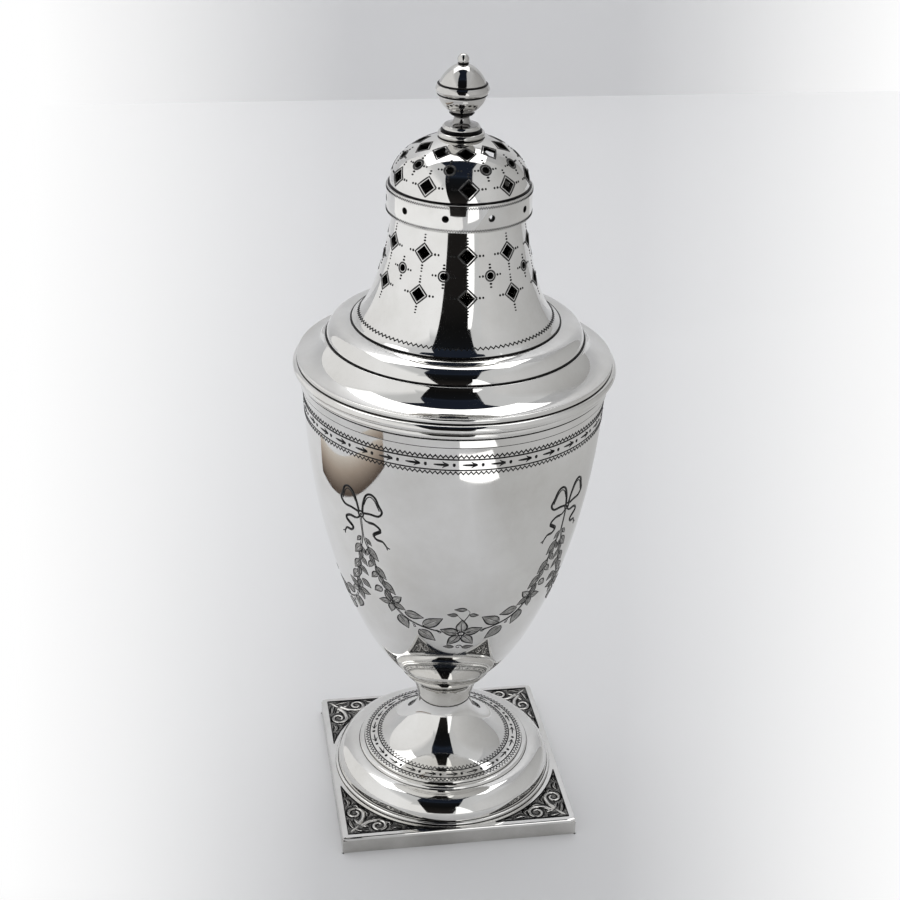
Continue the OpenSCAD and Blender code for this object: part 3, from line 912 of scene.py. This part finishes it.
def make_bowl_border():
    make_border("bowl_border", bowl_wrap, HEIGHT, middle=111.75, first=-8.85, count=35,
                strokes=turned(arrow(3.3, 0.3, 0.8), 0, (-2.92, 0)) + [dot(0.66)],
                rings=((113.07, 0.26), (110.4, 0.26), (113.8, 0.33, 0.68, 196), (109.68, 0.33, 0.68, 196)))


def make_foot_border():
    make_border("foot_border", trumpet_wrap, RADIUS, middle=18.45, first=-11.1, count=21,
                strokes=turned(arrow(2.9, 0.22, 0.78), 0, (-2.6, 0)) + [dot(0.68)],
                rings=((17.35, 0.27), (19.55, 0.27), (16.76, 0.3, 0.85, 98), (20.2, 0.3, 0.75, 118)))


def bow():
    """A ribbon bow: two loops, a knot and two wavy tails."""
    loop = smooth_path([(0.5, 0.6), (1.1, 3.4), (2.1, 5.7), (3.5, 6.5), (4.9, 5.9),
                        (5.8, 4.0), (6.6, 2.3), (5.4, 0.9), (2.9, 0.8), (0.6, 0.4)], 4)
    tail = smooth_path([(0.5, -0.7), (1.6, -1.6), (3.9, -1.6), (5.6, -3.0),
                        (3.5, -4.7), (4.0, -5.9), (5.8, -6.1), (6.9, -7.5)], 5)
    fold = [(x + 0.15, y - 0.42) for x, y in tail[6:-6]]
    turn_in = smooth_path([(1.3, 3.0), (2.3, 5.0), (3.5, 5.8), (4.6, 5.2), (5.3, 3.9), (5.9, 2.5)], 3)
    half = [even(loop, 0.52), even(turn_in, 0.24), swelling(tail, 0.56, 0.6), swelling(fold, 0.24)]
    half += [even([(6.8, -7.4), (7.7, -7.8)], 0.24), even([(6.8, -7.5), (7.0, -8.3)], 0.24)]
    half = [[(0.93 * x, y, w) for x, y, w in stroke] for stroke in half]
    strokes = half + turned(half, 0, mirror=True)
    return strokes + [even(circle(0.75, 0.85, 12), 0.42), dot(0.56)]


def make_festoons():
    """Four swags of leaves and flowers, hung from four bows."""
    centre = -2.1
    middle_z = 61.0
    lines = []
    shades = []

    def lay(motif, angle, z, turn=0, mirror=False):
        """Draws a motif's edges and, where it has them, its shading lines."""
        along = bowl_wrap.along(HEIGHT, z)
        for drawn, strokes in zip((lines, shades), motif):
            drawn.extend(bowl_wrap.lay(turned(strokes, turn, mirror=mirror), centre + angle, along))

    def both(motif, angle, z, turn=0):
        lay(motif, angle, z, turn)
        lay(motif, -angle, z, turn, True)

    stalk = smooth_path([(-44.6, 93.0), (-44.6, 87.2), (-43.4, 84.5), (-41.8, 81.2), (-40.1, 78.4),
                         (-37.7, 74.6), (-35.6, 71.0), (-33.2, 67.7), (-29.5, 65.3), (-24.0, 63.6),
                         (-16.0, 62.2), (-8.0, 61.5), (-3.0, 61.3)], 6)
    twin = [(a + 0.7, z + 0.2) for a, z in stalk[6:-10]]
    for side in (1, -1):
        for stem, width in ((stalk, 0.18), (twin, 0.13)):
            lines.append([(bowl_wrap.place(centre + side * a, bowl_wrap.along(HEIGHT, z)), width)
                          for a, z in stem])
    # Leaves of one half swag: degrees from its middle, height, heading, length and breadth
    for angle, z, turn, length, breadth in (
            (-20.0, 63.4, 33, 6.0, 3.0), (-22.2, 61.8, -45, 5.3, 3.2), (-28.8, 67.0, -11, 4.8, 2.7),
            (-31.9, 65.7, -68, 4.9, 3.0), (-43.6, 87.3, -52, 2.4, 1.0), (-43.3, 84.8, -52, 4.4, 2.1),
            (-41.8, 80.9, -122, 3.0, 1.5), (-40.7, 79.6, -53, 4.4, 2.1), (-40.1, 77.9, -130, 3.3, 1.6),
            (-38.0, 75.6, -50, 4.7, 2.3), (-39.2, 73.4, -139, 3.2, 2.0), (-42.7, 82.6, -70, 3.4, 1.4),
            (-39.4, 76.9, -72, 3.6, 1.5), (-36.8, 73.2, -75, 3.0, 1.4), (-43.0, 84.2, -112, 2.6, 1.2)):
        both(leaf(length, breadth, 0.11 + 0.05 * breadth), angle, z, turn)
    both(flower(3.8, 5, 0.2, 43), -34.8, 69.4)
    for angle, z, turn in ((-25.5, 63.5, -75), (-14.0, 62.2, -40), (-35.0, 73.0, 20), (-12.5, 62.2, -70)):
        both([[swelling([(0, 0), (0.5, 0.5), (1.2, 0.5), (1.1, 0.0), (0.5, 0.1)], 0.24)]], angle, z, turn)
    lay(flower(5.4, 5, 0.27), 0, middle_z)
    # Small leaves over and under the middle flower: place, heading, length and breadth
    for x, y, turn, length, breadth in (
            (0.9, 9.0, 178, 3.1, 1.2), (-1.2, 7.1, 176, 2.6, 1.1), (1.6, 7.0, -8, 2.3, 1.1),
            (-1.4, -5.3, 178, 2.6, 1.1), (0.6, -5.6, 4, 2.8, 1.2)):
        lay([turned(strokes, turn, (x, y)) for strokes in leaf(length, breadth, 0.2)], 0, middle_z)
    curl = [(0.9 * (1 - t) * cos(8 * t) - 0.3, -5.4 + 0.9 * (1 - t) * sin(8 * t))
            for t in evenly(14)[:-1]]
    lay([[tapering(smooth_path([(0.3, 4.6), (-0.4, 5.8), (-1.3, 7.0)], 5), 0.22),
          tapering(smooth_path([(0.3, 4.6), (1.3, 6.6), (1.6, 8.0), (0.8, 9.0)], 5), 0.22),
          tapering(curl, 0.24)]], 0, middle_z)
    lay([bow()], -44.7, 94.0)
    finished(repeated_round(engraved("bowl_festoons", lines, wrap=bowl_wrap), 4), "vase", engraving)
    finished(repeated_round(engraved("bowl_leaf_shading", shades, wrap=bowl_wrap), 4), "vase", hatched)


# Engraving on the cover and the plinth

def spray(reach, dots, start, size):
    """A row of punched dots going out from an opening."""
    return [turned([dot(size * (1 - 0.12 * i))], 0, (start + reach * i, 0))[0] for i in range(dots)]


def opening_border(sides, width, line=0.34):
    """The outline round an opening."""
    if sides == ROUND:
        return [even(circle(width / 2, width / 2, 28), line)]
    corners = circle(width / 2, width / 2, sides)
    points = [(x0 + (x1 - x0) * t, y0 + (y1 - y0) * t)
              for (x0, y0), (x1, y1) in zip(corners, corners[1:]) for t in evenly(4)[:-1]]
    return [even(points + corners[:1], line)]


def make_cover_engraving():
    """Outlines and rows of dots round the openings, and the wriggled lines."""
    def rows(row, *turns):
        return [stroke for turn in turns for stroke in turned(row, turn)]

    def columns(name, wrap, openings, motifs):
        """A motif round each opening of one column, repeated all round."""
        lines = []
        for (_, turn, z, *_), strokes in zip(openings, motifs):
            lines += wrap.lay(strokes, turn, wrap.along(HEIGHT, z))
        return repeated_round(engraved(name, lines, wrap=wrap), PIERCE_COUNT)

    def outlines(name, wrap, openings):
        borders = [opening_border(sides, width) for sides, _, _, _, width in openings]
        finished(columns(name, wrap, openings, borders), "cover", shallow)

    bell_dots = rows(spray(0.8, 2, 2.8, 0.5), 0, 180) + rows(spray(0.66, 3, 2.8, 0.42), 90, -90)
    dome_dots = rows(spray(0.78, 2, 2.95, 0.5), 0, 180) + rows(spray(0.64, 2, 2.95, 0.42), 90)
    round_dots = rows(spray(0.74, 2, 1.8, 0.46), 0, 90, 180, 270)
    outlines("bell_outlines", bell_wrap, bell_openings)
    dots = columns("bell_engraving_rows", bell_wrap, bell_openings, (bell_dots, round_dots, bell_dots))
    wriggle_z = 133.9
    wriggle = bell_wrap.ring(bell_wrap.along(HEIGHT, wriggle_z), 0.34, 0.62, 117)
    lines = engraved("bell_wriggle", [], [wriggle], bell_wrap)
    finished(joined("bell_engraving", [lines, dots]), "cover", engraving)
    outlines("dome_outlines", dome_wrap, dome_openings)
    dots = columns("dome_engraving", dome_wrap, dome_openings, (dome_dots, round_dots))
    finished(dots, "cover", engraving)
    milling = [band_wrap.ring(along, 0.2, 0.5, 180) for along in (0.55, dome_z - band_z - 0.6)]
    finished(engraved("band_milling", [], milling, band_wrap), "cover", engraving)


def spiral(centre, outer, inner, start, turns, n=30):
    points = []
    for t in evenly(n):
        r = outer + (inner - outer) * t
        a = radians(start + 360 * turns * t)
        points.append((centre[0] + r * cos(a), centre[1] + r * sin(a)))
    return points


def flatten(piece, height, share):
    """Squeezes a drawing down on to the flat metal."""
    pick(piece)
    edit_all()
    bpy.ops.transform.resize(value=(1, 1, share), center_override=(0, 0, height * MM))
    leave_edit()
    return piece


def make_spandrels():
    """Corner panels on the plinth: scrolled leaves standing on a shaded ground."""
    corner = plinth_half - 1.6
    curve_r = 29.9
    panel_z = plate_top - 0.002
    relief_z = plate_top + 0.015
    line_z = plate_top + 0.1
    leg = (curve_r ** 2 - corner ** 2) ** 0.5
    tip = atan2(leg, corner)
    angles = [tip + (pi / 2 - 2 * tip) * t for t in evenly(24)]
    arc = [(curve_r * cos(a), curve_r * sin(a)) for a in angles]
    field = [((x * MM, y * MM, 0), 1) for x, y in [(corner, corner)] + arc[::-1]]
    shape = line_drawing("plinth_panels", [([field], True)])
    shape.dimensions = "2D"
    shape.fill_mode = "BOTH"
    shape.extrude = 0.0175 * MM
    panel = made_mesh()
    panel.data.transform(Matrix.Translation((0, 0, panel_z * MM)))
    finished(repeated_round(panel, 4), "vase", ground)

    def flat(strokes, height):
        return [[(Vector((x, y, height)) * MM, w) for x, y, w in stroke] for stroke in strokes]

    def mirrored(strokes):
        return strokes + [[(y, x, w) for x, y, w in stroke] for stroke in strokes]

    def inward(points):
        """Points measured in from the panel's corner."""
        return [(corner - u, corner - v) for u, v in points]

    eye = inward([(2.4, 7.9)])[0]
    scroll = smooth_path(inward([(2.7, 3.5), (4.1, 5.3), (4.55, 7.0)]), 6) + spiral(eye, 2.25, 0.75, 162, 1.2)
    leaves = [tapering(scroll, 1.6, 0.5)]
    veins = [even(spiral(eye, 2.2, 1.5, 172, 0.6), 0.16)]
    # Leaves of half a panel: their points and their width
    for points, width in (
            ([(2.1, 5.6), (2.6, 4.6), (3.0, 3.8)], 1.2), ([(0.75, 5.4), (0.95, 3.6), (1.6, 1.9)], 1.0),
            ([(0.8, 10.9), (1.3, 12.2), (0.7, 13.8)], 1.1), ([(0.5, 14.4), (0.7, 15.5), (0.4, 16.8)], 0.7),
            ([(2.0, 10.6), (3.0, 11.0), (3.6, 10.0)], 0.9), ([(5.3, 6.2), (5.6, 7.4), (5.0, 8.6)], 0.8)):
        path = smooth_path(inward(points), 4)
        leaves.append(swelling(path, width))
        veins.append(swelling(path, 0.22))
    heart = [swelling(inward([(2.7, 2.7), (1.6, 1.6), (0.7, 0.7)]), 1.3)]
    relief = engraved("plinth_scrolls", flat(mirrored(leaves) + heart, relief_z))
    # The scrolls take the darker silver with painted shade.
    finished(repeated_round(flatten(relief, relief_z, 0.18), 4), "vase", dimmed_painted_shade)
    edges = [[(x, y, w * 1.12 + 0.5) for x, y, w in stroke] for stroke in leaves]
    shade = flatten(engraved("plinth_scroll_edges", flat(mirrored(edges), relief_z)), relief_z, 0.05)
    border = [even([(corner, leg), (corner, corner), (leg, corner)], 0.3), even(arc, 0.34)]
    details = engraved("plinth_scroll_lines", flat(mirrored(veins) + border, line_z))
    finished(repeated_round(joined("plinth_scroll_lines", [details, shade]), 4), "vase", engraving)


# Stage and light

def maths(tree, operation, *values):
    node = added(tree, "Math")
    node.operation = operation
    for socket, value in zip(node.inputs, values):
        feed(tree, socket, value)
    return node.outputs["Value"]


def paper(name, depth_gain, depth_start):
    """Pale paper that whitens towards its sides, as the photograph's background does."""
    material, tree, shader = shader_nodes(name)
    fill(tree, shader, Base_Color=(0.80, 0.80, 0.81, 1), Roughness=0.85)
    turn = added(tree, "Mapping", Vector=object_place(tree), Rotation=(0, 0, -CAMERA_TURN))
    parts = added(tree, "SeparateXYZ", Vector=turn.outputs["Vector"])
    depth = maths(tree, "ADD", maths(tree, "MULTIPLY", parts.outputs["Y"], depth_gain), depth_start)
    across = maths(tree, "DIVIDE", parts.outputs["X"], maths(tree, "MAXIMUM", depth, 0.1))
    aside = maths(tree, "ABSOLUTE", maths(tree, "SUBTRACT", across, 0.018))
    fade = ramp(tree, aside, greys((0.09, 0), (0.145, 0.27), (0.21, 0.67), (0.275, 1), (0.33, 1), (0.5, 0)))
    beyond = ramp(tree, depth, greys((0.36, 0), (0.40, 1)))
    path = added(tree, "LightPath")
    mirrored = maths(tree, "MULTIPLY", path.outputs["Is Glossy Ray"], 0.15)
    seen = maths(tree, "MAXIMUM", path.outputs["Is Camera Ray"],
                 maths(tree, "MAXIMUM", mirrored, path.outputs["Is Transmission Ray"]))
    share = maths(tree, "MULTIPLY", maths(tree, "MULTIPLY", fade, beyond), seen)
    blend(tree, share, shader.outputs["BSDF"], added(tree, "Emission").outputs["Emission"])
    return material


def show(tree, shader):
    tree.links.new(shader, tree.nodes["Material Output"].inputs["Surface"])


def blend(tree, share, first, second):
    """Shows a share of the second shader over the first."""
    mix = added(tree, "MixShader", Fac=share)
    tree.links.new(first, mix.inputs[1])
    tree.links.new(second, mix.inputs[2])
    show(tree, mix.outputs["Shader"])


def glow(name, colour, strength):
    """The light of a card that is seen only in the metal."""
    material, tree, _ = shader_nodes(name)
    show(tree, added(tree, "Emission", Color=(*colour, 1), Strength=strength).outputs["Emission"])
    return material


def graded(name, axis, stops, cover=None):
    """A glow whose colour runs along the card; the second ramp, if given, lets it fade away softly."""
    material = glow(name, (0, 0, 0), 1)
    tree = material.node_tree
    light = tree.nodes["Emission"]
    parts = added(tree, "SeparateXYZ", Vector=added(tree, "TexCoord").outputs["UV"])
    fill(tree, light, Color=ramp(tree, parts.outputs[axis], stops))
    if cover:
        side, shares = cover
        clear = added(tree, "BsdfTransparent").outputs["BSDF"]
        blend(tree, ramp(tree, parts.outputs[side], shares), clear, light.outputs["Emission"])
    return material


def board(name, corners, material):
    """A flat four-cornered board."""
    sheet = new_object(bpy.ops.mesh.primitive_plane_add, name, size=1)
    for vertex, spot in zip(sheet.data.vertices, corners):
        vertex.co = spot
    sheet.data.materials.append(material)
    return sheet


def card(name, corners, material):
    """A board set to the camera's heading, which shows only as a reflection."""
    sheet = board(name, [facing @ Vector(spot) for spot in corners], material)
    sheet.visible_camera = False
    sheet.visible_shadow = False
    sheet.visible_diffuse = False


def level(height, *spots):
    """Corners that share one height."""
    return [(x, y, height) for x, y in spots]


def upright(start, end, height):
    """Corners of an upright wall that stands on the floor."""
    return level(0, start, end) + level(height, start, end)


def set_stage():
    floor = board("floor", level(0, (-3, -3), (3, -3), (-3, 3), (3, 3)), paper("floor_paper", 0.892, 0.4468))
    backdrop = board("backdrop", upright((-3, 0.684), (3, 0.684), 3), paper("backdrop_paper", 0.0, 1.0))
    world = bpy.data.worlds.new("studio")
    world.use_nodes = True
    fill(world.node_tree, world.node_tree.nodes["Background"], Color=(0.98, 0.99, 1.0, 1), Strength=0.64)
    bpy.context.scene.world = world
    lamp = new_object(bpy.ops.object.light_add, "top_light", type="AREA")
    lamp.data.shape = "RECTANGLE"
    lamp.data.size = 1.1
    lamp.data.size_y = 0.55
    lamp.data.energy = 3.3
    lamp.matrix_world = Matrix.Translation(facing @ Vector((-0.13, 0.385, 1.05))) @ facing
    bpy.context.scene.view_settings.view_transform = "Standard"


def set_dark_cards():
    """The dark cloth in front of the caster and over it."""
    ceiling = 1.04
    top = ((-0.34, -0.44), (0.29, -0.44))
    waist = ((-0.21, -0.15), (0.235, -0.15))
    end = ((-0.33, 0.09), (0.28, 0.09))
    cloth = graded("dark_cloth", "Y", [(0, (0.018, 0.016, 0.015)), (0.3, (0.006, 0.006, 0.006)),
                                       (0.75, (0.007, 0.008, 0.01)), (1, (0.018, 0.025, 0.04))])
    overhead = glow("dark_ceiling", (0.012, 0.016, 0.026), 1)
    card("dark_flag", level(0.03, (-0.10, -0.44), (0.085, -0.44)) + level(ceiling, *top), cloth)
    card("dark_ceiling", level(ceiling, *top, *waist), overhead)
    card("dark_ceiling_end", level(ceiling, *waist, *end), overhead)


def set_pale_cards():
    """White papers, grey walls and a tan board round the caster."""
    white = glow("white_paper", (1, 1, 1), 1.5)
    bright = glow("front_paper", (1, 1, 1), 0.98)
    fading_up = ("Y", greys((0.7, 1), (1, 0)))
    fading_in = ("X", greys((0, 0), (0.09, 1)))
    card("white_strip", level(0, (0.105, -0.43), (0.26, -0.43)) + level(0.35, (0.125, -0.43), (0.155, -0.43)),
         white)
    card("white_slip", level(0.002, (0.02, -0.222), (0.11, -0.205), (0.02, -0.182), (0.105, -0.15)), white)
    tan = [(0, (0.60, 0.55, 0.49)), (0.45, (0.36, 0.30, 0.25)), (1, (0.07, 0.05, 0.04))]
    card("tan_board", level(0.003, (-0.19, -0.16), (-0.142, -0.125), (-0.19, 0.09), (-0.146, 0.08)),
         graded("tan_board", "X", tan))
    card("left_wall", upright((-0.6, -0.9), (-0.6, 0.6), 1.2),
         graded("left_wall", "X", greys((0, 0.95), (1, 0.88)), fading_up))
    card("right_wall", upright((0.6, -0.9), (0.6, 0.7), 1.0),
         graded("right_wall", "X", greys((0.2, 0.64), (0.6, 0.52), (1, 0.4)), fading_up))
    card("right_floor", level(0.001, (0.04, -0.3), (0.6, -0.5), (0.04, 0.3), (0.6, 0.5)),
         graded("right_floor", "X", greys((0, 0.48), (0.3, 0.54), (1, 0.50)), fading_in))
    card("front_paper", level(0.002, (-0.59, -0.89), (0.05, -0.89), (-0.31, -0.215), (0.05, -0.38)), bright)
    card("side_paper", level(0.002, (-0.59, -0.89), (-0.31, -0.215), (-0.59, 0.3), (-0.38, 0.22)), bright)
    card("front_wall", upright((-0.6, -0.9), (-0.12, -0.9), 0.9),
         graded("front_wall", "X", greys((0, 0.95), (1, 0.95)), fading_up))


place_camera()
make_plate()
make_strip()
make_foot_and_stem()
make_bowl()
make_rim()
make_cover_base()
make_bell()
make_band()
make_dome()
make_finial()
make_joint_lines("urn_joint_lines", "vase", urn_joints)
make_joint_lines("cover_joint_lines", "cover", cover_joints)
make_bowl_border()
make_festoons()
make_foot_border()
make_cover_engraving()
make_spandrels()
set_stage()
set_dark_cards()
set_pale_cards()
